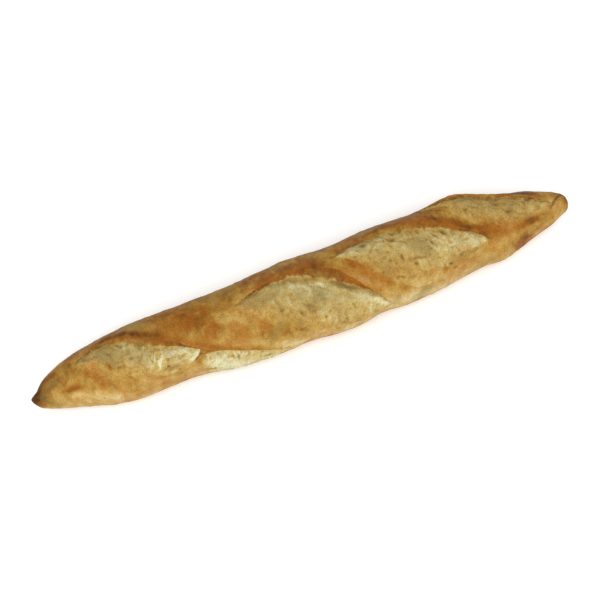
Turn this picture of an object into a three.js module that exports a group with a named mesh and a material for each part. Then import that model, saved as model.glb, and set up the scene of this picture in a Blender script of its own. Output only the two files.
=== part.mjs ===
// A baguette: one long loaf of crusty white bread, flat underneath, with four slanting cuts that opened in the oven.
// Units are millimetres. The loaf lies along X on its flat base, +Z is up, and the origin is the middle of the base.
import * as THREE from "three";

// Driving dimensions of the whole loaf, before its cuts opened.
const LENGTH = 480;
const WIDTH = 70;
const HEIGHT = 53;
const TIP_HEIGHT = 20; // height of both tips above the table
const BELLY_SHARE = 0.43; // the widest level, as a share of the height
const BASE_SHARE = 0.74; // share of the half length over which the base lies flat
const BASE_CURL = 2.6; // how late the underside lifts towards a tip
const MIDDLE_X = 72; // the thickest place, past the middle of the length

// How the loaf narrows from its thickest place to a tip: (1 - t^power)^root.
const LEFT_TAPER = { power: 4.9, root: 0.62 };
const RIGHT_TAPER = { power: 1.5, root: 0.53 };
const SPINE_BEND = { left: 3.2, right: 1 }; // how far each tip bends to the rear
const SIDE_SHARPNESS = 2.2; // superellipse power of the domed upper half
const BASE_SHARPNESS = 3.0; // superellipse power of the lower half
const BASE_SINK = 1.08; // the lower half is this much too deep, and is cut off flat

// Where a flank bulges, or pulls in between two cuts. The front is -Y.
const FLANK_SWELLS = [
  { x: -226, spread: 12, front: 0, rear: 1.5 },
  { x: -110, spread: 35, front: -6.5, rear: -1 },
  { x: -88, spread: 50, front: 0, rear: -3 },
  { x: 30, spread: 24, front: 2, rear: -1.5 },
  { x: 149, spread: 21, front: 0, rear: 7 },
  { x: 204, spread: 24, front: -1.5, rear: -3 },
];

// Rolls are angles round the loaf from the crown, in degrees, growing towards the front.
// Each opening runs from its start to its end. Its ear, on the rear side, is the lifted edge of the crust: it stands
// this high, falls back to the loaf over its slope, and drops into the groove over its face. Its lip is the low edge
// on the front side. A reach is how far an edge bows off the straight line between the ends, and a peak is where.
const GIRTH_RADIUS = 33; // turns a roll into a distance across the loaf
const OPENINGS = [
  {
    start: { x: -192, roll: -26 },
    end: { x: -97, roll: 49 },
    ear: { reach: 13.5, peak: 0.38, height: 2.6, slope: 7, face: 7 },
    lip: { reach: 30, peak: 0.5, height: 0.6 },
    groove: 1.2,
    swell: 2.4,
  },
  {
    start: { x: -62, roll: -4 },
    end: { x: 62, roll: 82 },
    ear: { reach: 33.5, peak: 0.45, height: 4.2, slope: 9, face: 10 },
    lip: { reach: 25, peak: 0.58, height: 0.8 },
    groove: 3.2,
    swell: 3.6,
  },
  {
    start: { x: 24, roll: -22 },
    end: { x: 152, roll: 34 },
    ear: { reach: 22, peak: 0.5, height: 3.6, slope: 8, face: 8 },
    lip: { reach: 33, peak: 0.56, height: 1.8 },
    groove: 2.2,
    swell: 4.2,
  },
  {
    start: { x: 108, roll: -64 },
    end: { x: 224, roll: 14 },
    ear: { reach: 14, peak: 0.5, height: 3.2, slope: 7, face: 6 },
    lip: { reach: 19.5, peak: 0.45, height: 1.2 },
    groove: 1.4,
    swell: 3.0,
  },
  // The front flank burst under the band of crust between the first two cuts.
  {
    start: { x: -110, roll: 76 },
    end: { x: -20, roll: 95 },
    ear: { reach: 16, peak: 0.22, height: 1.0, slope: 5, face: 5 },
    lip: { reach: 12, peak: 0.4, height: 0.3 },
    groove: 0.8,
    swell: 1.4,
  },
];
const LIP_SLOPE = 5; // distance over which a low lip fades into the crust
const GROOVE_SHARE = 0.25; // share of an opening's floor that falls into its groove
const END_FADE = 0.6; // how fast an opening's relief fades at its two ends

// The fold that closes the right end: a low step with everything past it raised.
const END_FOLD = { x: 226, lean: 0.35, rise: 1.4, width: 5 };

// The mesh: stations along the loaf and points round each of them.
const STATIONS = 112;
const STATION_CROWDING = 0.45; // how much closer the stations lie towards the tips
const TOP_POINTS = 34; // over the crust that shows from above
const UNDER_POINTS = 8; // over the flanks' feet and the base
const TOP_ROLL = 108; // the roll, either way, where the top's points end

const CRUST = new THREE.MeshStandardMaterial({ color: 0xc29349, roughness: 0.62, metalness: 0 });

const { clamp, degToRad, lerp, smoothstep } = THREE.MathUtils;
const half = LENGTH / 2;

// 1 at the loaf's thickest place, and 0 at a tip.
function taper(x) {
  const left = x < MIDDLE_X;
  const { power, root } = left ? LEFT_TAPER : RIGHT_TAPER;
  const t = left ? (MIDDLE_X - x) / (half + MIDDLE_X) : (x - MIDDLE_X) / (half - MIDDLE_X);
  return Math.pow(Math.max(0, 1 - Math.pow(t, power)), root);
}

// The height of the underside, which lifts off the table towards the tips.
function underside(x) {
  const past = clamp((Math.abs(x) / half - BASE_SHARE) / (1 - BASE_SHARE), 0, 1);
  return TIP_HEIGHT * Math.pow(past, BASE_CURL);
}

function spine(x) {
  const bend = x < 0 ? SPINE_BEND.left : SPINE_BEND.right;
  return (bend * (1 - Math.cos((Math.PI * x) / half))) / 2;
}

// The distance from the spine to the front or the rear flank.
function halfWidth(x, side) {
  const swell = FLANK_SWELLS.reduce((sum, one) => sum + one[side] * Math.exp(-(((x - one.x) / one.spread) ** 2)), 0);
  const full = taper(x);
  return (WIDTH / 2) * full + swell * Math.min(1, 2 * full);
}

// A point of the loaf's skin before any cut, at a place along it and a roll in radians.
function skin(x, roll) {
  const low = underside(x);
  const high = Math.max(low, lerp(TIP_HEIGHT, HEIGHT, taper(x)));
  const belly = lerp(low, high, BELLY_SHARE);
  const upper = Math.cos(roll) >= 0;
  const power = 2 / (upper ? SIDE_SHARPNESS : BASE_SHARPNESS);
  const across = Math.sign(Math.sin(roll)) * Math.pow(Math.abs(Math.sin(roll)), power);
  const rise = Math.pow(Math.abs(Math.cos(roll)), power);
  const y = spine(x) - halfWidth(x, across > 0 ? "front" : "rear") * across;
  const z = upper ? belly + (high - belly) * rise : belly - (belly - low) * BASE_SINK * rise;
  return new THREE.Vector3(x, y, z);
}

function skinNormal(x, roll) {
  const step = 0.02;
  const behind = clamp(x - 1, -half, half);
  const ahead = clamp(x + 1, -half, half);
  const along = skin(ahead, roll).sub(skin(behind, roll)).divideScalar(ahead - behind);
  const round = skin(x, roll + step).sub(skin(x, roll - step));
  return round.cross(along).normalize();
}

// How far an edge of an opening stands off the straight line between the opening's ends.
function bow(edge, along) {
  return edge.reach * Math.sin(Math.PI * Math.pow(along, Math.log(0.5) / Math.log(edge.peak)));
}

// How far one opening raises or lowers the skin.
function openingRelief({ start, end, ear, lip, groove, swell }, x, roll) {
  const startRoll = degToRad(start.roll);
  const run = new THREE.Vector2(end.x - start.x, (degToRad(end.roll) - startRoll) * GIRTH_RADIUS);
  const from = new THREE.Vector2(x - start.x, (roll - startRoll) * GIRTH_RADIUS);
  const along = from.dot(run) / run.lengthSq();
  if (along <= 0 || along >= 1) return 0;
  const across = from.cross(run) / run.length();
  const open = Math.sin(Math.PI * along) ** END_FADE;
  const earEdge = bow(ear, along);
  const lipEdge = -bow(lip, along);
  const grooveEdge = earEdge - ear.face * open;
  if (across > earEdge) return open * ear.height * Math.exp((earEdge - across) / ear.slope);
  if (across < lipEdge) return open * lip.height * Math.exp((across - lipEdge) / LIP_SLOPE);
  if (across > grooveEdge) return open * lerp(-groove, ear.height, smoothstep(across, grooveEdge, earEdge));
  const share = (across - lipEdge) / (grooveEdge - lipEdge);
  const swelling = swell * Math.sin(Math.PI * share ** 0.85);
  const sinking = groove * smoothstep(share, 1 - GROOVE_SHARE, 1);
  const foot = lip.height * (1 - smoothstep(across, lipEdge, lipEdge + LIP_SLOPE));
  return open * (swelling - sinking + foot);
}

function foldRelief(x, roll) {
  const front = END_FOLD.x - END_FOLD.lean * roll * GIRTH_RADIUS;
  return END_FOLD.rise * smoothstep(x, front, front + END_FOLD.width) * taper(x);
}

// A point of the finished surface. The base stays flat on the table.
function surface(x, roll) {
  const relief = OPENINGS.reduce((sum, opening) => sum + openingRelief(opening, x, roll), foldRelief(x, roll));
  const point = skin(x, roll).addScaledVector(skinNormal(x, roll), relief);
  point.z = Math.max(point.z, underside(x));
  return point;
}

// Places along the loaf, closer together towards the tips.
function stationX(i) {
  const even = (2 * i) / STATIONS - 1;
  return half * lerp(even, Math.sin((Math.PI / 2) * even), STATION_CROWDING);
}

// Rolls round the loaf, in radians, closer together over the top.
function stationRolls() {
  const top = degToRad(TOP_ROLL);
  const under = 2 * (Math.PI - top);
  const rolls = [];
  for (let j = 0; j < TOP_POINTS; j++) rolls.push(lerp(-top, top, j / TOP_POINTS));
  for (let j = 0; j < UNDER_POINTS; j++) rolls.push(top + (under * j) / UNDER_POINTS);
  return rolls;
}

// The closed surface: a ring of points at each station, and one point at each tip.
// The quads are split along the slant of the cuts.
function loafGeometry() {
  const rolls = stationRolls();
  const round = rolls.length;
  const points = [];
  const faces = [];
  for (let i = 1; i < STATIONS; i++) {
    for (const roll of rolls) points.push(surface(stationX(i), roll));
  }
  const leftTip = points.push(new THREE.Vector3(-half, spine(-half), TIP_HEIGHT)) - 1;
  const rightTip = points.push(new THREE.Vector3(half, spine(half), TIP_HEIGHT)) - 1;
  const lastRing = (STATIONS - 2) * round;
  for (let j = 0; j < round; j++) {
    const next = (j + 1) % round;
    faces.push(leftTip, next, j);
    faces.push(rightTip, lastRing + j, lastRing + next);
    for (let ring = 0; ring < lastRing; ring += round) {
      faces.push(ring + j, ring + next, ring + round + next);
      faces.push(ring + j, ring + round + next, ring + round + j);
    }
  }
  const geometry = new THREE.BufferGeometry().setFromPoints(points);
  geometry.setIndex(faces);
  geometry.computeBoundingBox();
  const middle = geometry.boundingBox.getCenter(new THREE.Vector3());
  geometry.translate(-middle.x, -middle.y, 0);
  geometry.computeVertexNormals();
  return geometry;
}

const loaf = new THREE.Mesh(loafGeometry(), CRUST);
loaf.name = "loaf";

const baguette = new THREE.Group();
baguette.add(loaf);
export default baguette;
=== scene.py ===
"""The looks of a baguette: its baked crust, the ears and torn crumb of its cuts, and a plain studio.

The loaf is shaped in millimetres, on a chart of two numbers. x runs along the loaf. roll is the angle
round it from the crown, in degrees where it is a value and in radians in the sums, and it grows towards
the front, which is -Y.
"""

import math
from types import SimpleNamespace
from typing import NamedTuple

import bpy
import numpy as np
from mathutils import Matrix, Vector, noise


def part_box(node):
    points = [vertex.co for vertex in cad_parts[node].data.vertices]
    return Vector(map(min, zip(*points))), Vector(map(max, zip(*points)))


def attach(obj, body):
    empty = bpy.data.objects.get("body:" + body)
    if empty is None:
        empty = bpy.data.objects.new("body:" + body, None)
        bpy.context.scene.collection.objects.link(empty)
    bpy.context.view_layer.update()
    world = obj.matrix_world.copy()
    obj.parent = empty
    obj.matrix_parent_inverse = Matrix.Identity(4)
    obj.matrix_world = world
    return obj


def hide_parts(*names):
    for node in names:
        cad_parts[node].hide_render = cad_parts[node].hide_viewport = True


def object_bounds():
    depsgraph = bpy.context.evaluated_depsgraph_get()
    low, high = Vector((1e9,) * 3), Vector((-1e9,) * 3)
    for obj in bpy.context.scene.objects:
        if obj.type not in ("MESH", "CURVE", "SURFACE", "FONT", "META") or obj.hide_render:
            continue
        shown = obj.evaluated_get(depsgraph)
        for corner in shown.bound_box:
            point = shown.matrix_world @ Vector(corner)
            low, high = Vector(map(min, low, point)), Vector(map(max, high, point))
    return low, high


bl_info = {
    "name": "Baguette",
    "version": (1, 0, 0),
    "blender": (4, 5, 0),
    "location": "3D View > Sidebar > Baguette",
    "description": "Adds a baked baguette with four opened cuts, and a pale studio to see it in",
    "category": "Add Mesh",
}

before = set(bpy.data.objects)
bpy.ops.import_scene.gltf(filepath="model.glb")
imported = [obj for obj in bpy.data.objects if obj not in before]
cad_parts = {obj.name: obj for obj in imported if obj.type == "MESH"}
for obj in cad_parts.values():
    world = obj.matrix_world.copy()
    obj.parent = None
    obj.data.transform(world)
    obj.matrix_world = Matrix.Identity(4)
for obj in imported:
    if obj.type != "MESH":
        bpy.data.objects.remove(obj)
CAD_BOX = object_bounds()
LOAF_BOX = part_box("loaf")

MM = 0.001  # one millimetre, in Blender's metres
BOX_SIZE_MM = [(high - low) / MM for low, high in zip(*LOAF_BOX)]

# ---------- Sizes of the loaf, in millimetres and degrees ----------

HALF = BOX_SIZE_MM[0] / 2
WIDTH_SHARE = 0.926  # the skin's width, as a share of the box that its bulges reach
HEIGHT_SHARE = 0.936  # the skin's height, as a share of the box that its ears reach
TIP_HEIGHT = 20
BELLY_SHARE = 0.43
BASE_SHARE = 0.74
BASE_CURL = 2.6
MIDDLE_X = 72
LEFT_TAPER = (4.9, 0.62)  # power and root
RIGHT_TAPER = (1.5, 0.53)
SPINE_BEND = (3.2, 0.2)  # left and right
SIDE_SHARPNESS = 2.2
BASE_SHARPNESS = 3.0
BASE_SINK = 1.08
GIRTH_RADIUS = 33  # turns a roll in radians into a distance across the loaf

# Where a flank bulges or pulls in: place, spread, and how far at the front and at the rear.
FLANK_SWELLS = [
    (-237, 7, 2.2, -4.5),
    (-226, 12, 0, -0.8),
    (-202, 22, -4, 0),
    (-195, 30, 0, 0.2),
    (-110, 35, -5.5, -1),
    (-88, 50, 0, -3),
    (-63, 18, -0.5, -1.2),
    (-20, 40, 0, -1.2),
    (-14, 12, -1, 1),
    (10, 14, 1.4, 0),
    (30, 20, 2.5, -1.5),
    (52, 14, -2, 0),
    (145, 21, 0, 7.5),
    (153, 8, -0.8, 0),
    (165, 45, -1.5, 2),
    (168, 15, 4.5, 0),
    (188, 10, 1.5, 0),
    (206, 14, 0.5, 1.3),
    (225, 12, 2, -0.5),
    (239, 6, 6, 0),
]


class Ear(NamedTuple):
    """The lifted rear edge of an opening."""

    reach: float  # how far it bows off the line between the opening's ends
    peak: float  # where along the opening it bows most
    height: float
    slope: float  # distance over which it falls back to the loaf
    face: float  # width of the stretched skin between its edge and the groove
    overhang: float  # how far the edge leans over the groove
    burnt: float  # how dark its edge is
    browned: tuple  # how far its face browned, at the opening's start and at its end
    tail: float = 1.0  # share of its face's width that is left towards the opening's end


class Lip(NamedTuple):
    """The low front edge of an opening, which melts into the crust."""

    reach: float  # as an ear's
    peak: float
    height: float
    melt: float  # share of the opening over which crust turns to crumb


class Crumb(NamedTuple):
    """The torn crumb in an opening: each pair is at the opening's start and at its end."""

    cream: tuple  # how pale
    grey: tuple  # how grey, as thin skin over bubbles is
    bubble: float  # size of the bubbles, in millimetres
    dome: float  # how far a bubble stands out
    strand: float  # how far the strands across the opening stand out
    crack: tuple  # where along the opening its groove deepens into a crack with painted shade in it


class Opening(NamedTuple):
    start: tuple  # x and roll
    end: tuple
    ear: Ear
    lip: Lip
    groove: float  # depth under the ear
    swell: float  # how far the floor rises in its middle
    crumb: Crumb


OPENINGS = [
    Opening(
        start=(-203, -7),
        end=(-96, 46),
        ear=Ear(
            reach=22.5, peak=0.35, height=2.6, slope=10, face=10,
            overhang=1.0, burnt=0.3, browned=(0.56, 0.6), tail=0.5,
        ),
        lip=Lip(reach=28, peak=0.7, height=0.5, melt=0.5),
        groove=0.8,
        swell=2.6,
        crumb=Crumb(cream=(0.1, 0.8), grey=(0.85, 0.15), bubble=8, dome=1.2, strand=0.6, crack=(0, 0)),
    ),
    Opening(
        start=(-66, -2),
        end=(62, 84),
        ear=Ear(
            reach=34.5, peak=0.49, height=3.8, slope=11, face=10,
            overhang=1.8, burnt=0.24, browned=(0.7, 0.64), tail=0.25,
        ),
        lip=Lip(reach=25, peak=0.58, height=0.6, melt=0.5),
        groove=1.5,
        swell=3.4,
        crumb=Crumb(
            cream=(0.3, 0.6), grey=(0.65, 0.2), bubble=8,
            dome=1.1, strand=0.6, crack=(0.6, 0.73),
        ),
    ),
    Opening(
        start=(24, -20),
        end=(158, 38),
        ear=Ear(
            reach=23.5, peak=0.52, height=2.4, slope=10, face=9,
            overhang=1.0, burnt=0.24, browned=(0.44, 0.7), tail=0.4,
        ),
        lip=Lip(reach=33, peak=0.56, height=2.2, melt=0.4),
        groove=1.0,
        swell=4.0,
        crumb=Crumb(cream=(0.38, 0.52), grey=(0.6, 0.2), bubble=10, dome=1.2, strand=0.5, crack=(0, 0)),
    ),
    Opening(
        start=(106, -60),
        end=(224, 14),
        ear=Ear(
            reach=13, peak=0.6, height=3.0, slope=7, face=5,
            overhang=1.0, burnt=0.16, browned=(0.56, 0.6), tail=0.5,
        ),
        lip=Lip(reach=26, peak=0.62, height=1.0, melt=0.4),
        groove=0.6,
        swell=2.8,
        crumb=Crumb(cream=(0.06, 0.22), grey=(0.42, 0.2), bubble=7, dome=0.8, strand=0.6, crack=(0, 0)),
    ),
    Opening(
        start=(-106, 70),
        end=(-28, 92),
        ear=Ear(
            reach=13.5, peak=0.2, height=1.2, slope=5, face=3,
            overhang=0.4, burnt=0.2, browned=(0.46, 0.46),
        ),
        lip=Lip(reach=27, peak=0.4, height=0.3, melt=0.12),
        groove=0.5,
        swell=1.4,
        crumb=Crumb(cream=(0.72, 0.55), grey=(0.3, 0.1), bubble=7, dome=0.7, strand=0.6, crack=(0, 0)),
    ),
]
LIP_SLOPE = 6  # distance over which a lip falls back to the loaf
GROOVE_SHARE = 0.25  # width of a groove, as a share of the floor
END_FADE = 0.6  # how suddenly an opening starts and ends: a lower value is more sudden
FACE_AT_START = 0.35  # share of a face's width that is there at the opening's start
FACE_WIDENS = (0.1, 0.42)  # from where to where along the opening
FACE_NARROWS = (0.66, 0.84)
FACE_LIMIT = 0.7  # the most that a face takes of an opening's width
LEAST_GAP = 0.5  # between a lip and the ear's edge
SEEDS = 20  # seeds that each opening has for its noise
FAR = 1e3  # stands for a distance past an opening's end


# ---------- Small sums on arrays ----------


def lerp(a, b, t):
    return a + (b - a) * t


def smoothstep(value, low, high):
    t = np.clip((value - low) / (high - low), 0, 1)
    return t * t * (3 - 2 * t)


def bell(value, centre, spread):
    return np.exp(-(((value - centre) / spread) ** 2))


def wave(value, size, seed):
    """Smooth noise, -1 to 1, along one direction."""
    steps = np.arange(np.min(value) / size - 1, np.max(value) / size + 1, 0.1)
    heights = [noise.noise(Vector((step, seed, 0.5))) for step in steps]
    return np.interp(value / size, steps, heights)


def waves(value, *parts):
    """Waves added up. Each part has a height, a size and a seed."""
    return sum(height * wave(value, size, seed) for height, size, seed in parts)


def cloud(points, size, seed):
    """Smooth noise, -1 to 1, at points with three coordinates, with lumps of a size."""
    a, b, c = (np.ravel(part) / step for part, step in zip(points, np.broadcast_to(size, 3)))
    flat = zip(a, b, c + seed * 7.31)
    values = np.fromiter((noise.noise(Vector(point)) for point in flat), float)
    return values.reshape(np.shape(points[0]))


def clouds(points, *parts):
    """Clouds added up. Each part has a height, a size and a seed."""
    return sum(height * cloud(points, size, seed) for height, size, seed in parts)


def cells(a, b, size, seed):
    """The distances, in cells, to the nearest and the second nearest of scattered points."""
    flat = zip(np.ravel(a) / size[0], np.ravel(b) / size[1])
    found = [noise.voronoi(Vector((u, v, seed * 3.7)))[0][:2] for u, v in flat]
    near = np.array(found).reshape(np.shape(a) + (2,))
    return near[..., 0], near[..., 1]


# ---------- The loaf before its cuts opened ----------


def taper(x):
    """1 at the loaf's thickest place, and 0 at a tip."""
    left = x < MIDDLE_X
    power = np.where(left, LEFT_TAPER[0], RIGHT_TAPER[0])
    root = np.where(left, LEFT_TAPER[1], RIGHT_TAPER[1])
    t = np.where(left, (MIDDLE_X - x) / (HALF + MIDDLE_X), (x - MIDDLE_X) / (HALF - MIDDLE_X))
    return np.maximum(0, 1 - np.clip(t, 0, 1) ** power) ** root


def underside(x):
    past = np.clip((np.abs(x) / HALF - BASE_SHARE) / (1 - BASE_SHARE), 0, 1)
    return TIP_HEIGHT * past**BASE_CURL


def spine(x):
    bend = np.where(x < 0, SPINE_BEND[0], SPINE_BEND[1])
    return bend * (1 - np.cos(math.pi * x / HALF)) / 2


def half_width(x, width, front):
    full = taper(x)
    swell = sum(np.where(front, to_front, to_rear) * bell(x, at, spread)
                for at, spread, to_front, to_rear in FLANK_SWELLS)
    return width / 2 * full + swell * np.minimum(1, 4 * full)


def skin(x, roll, size):
    """Points of the loaf's skin, in millimetres."""
    low = underside(x)
    high = np.maximum(low, lerp(TIP_HEIGHT, size.height, taper(x)))
    belly = lerp(low, high, BELLY_SHARE)
    upper = np.cos(roll) >= 0
    power = 2 / np.where(upper, SIDE_SHARPNESS, BASE_SHARPNESS)
    across = np.sign(np.sin(roll)) * np.abs(np.sin(roll)) ** power
    rise = np.abs(np.cos(roll)) ** power
    y = spine(x) - half_width(x, size.width, across > 0) * across
    z = np.where(upper, belly + (high - belly) * rise, belly - (belly - low) * BASE_SINK * rise)
    return np.stack([x + 0 * roll, y, z], -1)


def unit(vectors):
    return vectors / np.maximum(np.linalg.norm(vectors, axis=-1, keepdims=True), 1e-9)


def skin_directions(x, roll, size):
    """The directions along the loaf, round it towards the front, and out of it."""
    behind = np.clip(x - 1, -HALF, HALF)
    ahead = np.clip(x + 1, -HALF, HALF)
    along = unit(skin(ahead, roll, size) - skin(behind, roll, size))
    step = 0.02
    around = unit(skin(x, roll + step, size) - skin(x, roll - step, size))
    return along, around, unit(np.cross(around, along))


# ---------- What the openings do to the skin ----------


def bow(edge, along):
    return edge.reach * np.sin(math.pi * along ** (math.log(0.5) / math.log(edge.peak)))


class Place(NamedTuple):
    """Where each point lies in one opening."""

    inside: np.ndarray
    along: np.ndarray  # 0 at the start and 1 at the end
    u: np.ndarray  # the same in millimetres
    v: np.ndarray  # millimetres off the straight line, growing to the rear
    past_ear: np.ndarray  # millimetres past the ear's edge, to the rear
    past_lip: np.ndarray  # millimetres past the lip, to the front
    face: np.ndarray  # 0 at the groove and 1 at the ear's edge
    floor: np.ndarray  # 0 at the lip and 1 at the groove
    open: np.ndarray  # 0 at the ends and 1 in the middle
    slant: tuple  # the direction towards the lip, along and round the loaf


def place_in(opening, chart, seed):
    start = np.array([opening.start[0], math.radians(opening.start[1]) * GIRTH_RADIUS])
    end = np.array([opening.end[0], math.radians(opening.end[1]) * GIRTH_RADIUS])
    length = np.linalg.norm(end - start)
    run_x, run_round = (end - start) / length
    from_x = chart.x - start[0]
    from_round = chart.across - start[1]
    u = from_x * run_x + from_round * run_round
    v = from_x * run_round - from_round * run_x
    along = u / length
    between = (along > 0) & (along < 1)
    along = np.clip(along, 1e-4, 1 - 1e-4)
    opened = np.sin(math.pi * along) ** END_FADE
    ear_ragged = waves(u, (1.3, 9, seed), (0.5, 3.5, seed + 1))
    lip_ragged = waves(u, (2.4, 13, seed + 2), (1.4, 4, seed + 3))
    ear_edge = bow(opening.ear, along) + opened * ear_ragged
    lip_edge = np.minimum(-bow(opening.lip, along) + opened * lip_ragged, ear_edge - LEAST_GAP)
    face = opening.ear.face * opened * lerp(FACE_AT_START, 1, smoothstep(along, *FACE_WIDENS))
    face = face * lerp(1, opening.ear.tail, smoothstep(along, *FACE_NARROWS))
    groove_edge = ear_edge - np.minimum(face, FACE_LIMIT * (ear_edge - lip_edge))
    return Place(
        inside=between & (v < ear_edge) & (v > lip_edge),
        along=along,
        u=u,
        v=v,
        past_ear=np.where(between, v - ear_edge, FAR),
        past_lip=np.where(between, lip_edge - v, FAR),
        face=np.clip((v - groove_edge) / (ear_edge - groove_edge), 0, 1),
        floor=np.clip((v - lip_edge) / (groove_edge - lip_edge), 0, 1),
        open=opened,
        slant=(-run_round, run_x),
    )


def crack_share(opening, along):
    """1 where the groove of an opening is a crack."""
    low, high = opening.crumb.crack
    if high <= low:
        return 0 * along
    return smoothstep(along, low - 0.1, low + 0.05) * (1 - smoothstep(along, high - 0.05, high + 0.1))


def opening_shape(opening, place, seed):
    """How far an opening lifts each point out of the skin, and slides it towards the lip."""
    ear, lip = opening.ear, opening.lip
    lift = ear.height * (1 + waves(place.u, (0.22, 14, seed + 4), (0.12, 5, seed + 5)))
    crack = crack_share(opening, place.along)
    depth = opening.groove * (0.4 + 1.1 * crack)
    fading = np.exp(-np.maximum(place.past_ear, 0) / ear.slope)
    rear = lift * fading
    front = lip.height * np.exp(-np.maximum(place.past_lip, 0) / LIP_SLOPE)
    rim = lerp(-depth, lift, smoothstep(place.face, 0, 1))
    floor = opening.swell * np.sin(math.pi * place.floor**1.1)
    floor = floor - depth * smoothstep(place.floor, 1 - GROOVE_SHARE * (1 - 0.6 * crack), 1)
    floor = floor + lip.height * (1 - smoothstep(place.floor, 0, 0.3))
    within = np.where(place.face > 0, rim, floor)
    out = np.where(place.inside, within, np.where(place.past_ear > 0, rear, front))
    near = (place.past_ear < FAR) * place.open
    lean = np.where(place.inside, place.face**1.5, fading)
    lean = np.where(place.past_ear > -ear.face, lean, 0) * ear.overhang
    return out * near, lean * near


def crumb_relief(crumb, place, seed):
    """How far the bubbles, strands and wrinkles of torn crumb stand out."""
    flat = (place.u, place.v, 0 * place.u)
    bend_u = place.u + clouds(flat, (3, 12, seed + 1), (1.2, 5, seed + 10))
    bend_v = place.v + clouds(flat, (3, 12, seed + 2), (1.2, 5, seed + 11))
    bent = (bend_u, bend_v, flat[2])

    # Each bubble is a dome in its own cell, with a seam where two meet. Small ones lie between patches.
    near, second = cells(bend_u, bend_v, (crumb.bubble, 1.3 * crumb.bubble), seed + 3)
    small_near, _ = cells(bend_u, bend_v, (0.42 * crumb.bubble, 0.5 * crumb.bubble), seed + 5)
    dome = np.maximum(0, 1 - (near / 0.85) ** 2)
    seam = bell(second - near, 0, 0.14)
    patch = smoothstep(cloud(flat, 18, seed + 4), -0.25, 0.3)
    relief = 0.8 * crumb.dome * patch * (dome - 0.55 - 0.25 * seam)
    relief = relief + 0.4 * (1 - patch) * (0.4 - small_near)

    # Strands run across the opening, where the crumb was combed as it tore, and wrinkles run any way.
    combed = smoothstep(cloud(flat, 15, seed + 7), -0.25, 0.3)
    strand = 1 - 2.2 * np.abs(cloud(bent, (2.1, 9, 1), seed + 6))
    wrinkle = 1 - 2.4 * np.abs(cloud(bent, (7, 5, 1), seed + 8))
    relief = relief + 1.2 * crumb.strand * combed * (strand - 0.4) + 0.5 * (wrinkle - 0.4)
    return relief + 0.35 * cloud(flat, 2.6, seed + 9)


# ---------- Browned and pale places, painted shade and highlights, bubbles, pits and the fold at the right end ---


class Mark(NamedTuple):
    """A soft oval on the loaf, and how much it adds to each of the surface's numbers."""

    x: float
    roll: float
    long: float  # half its length, in millimetres
    wide: float
    turn: float = 0  # degrees from the loaf's length towards the front
    toast: float = 0
    warm: float = 0
    cream: float = 0
    grey: float = 0
    lift: float = 0


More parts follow.
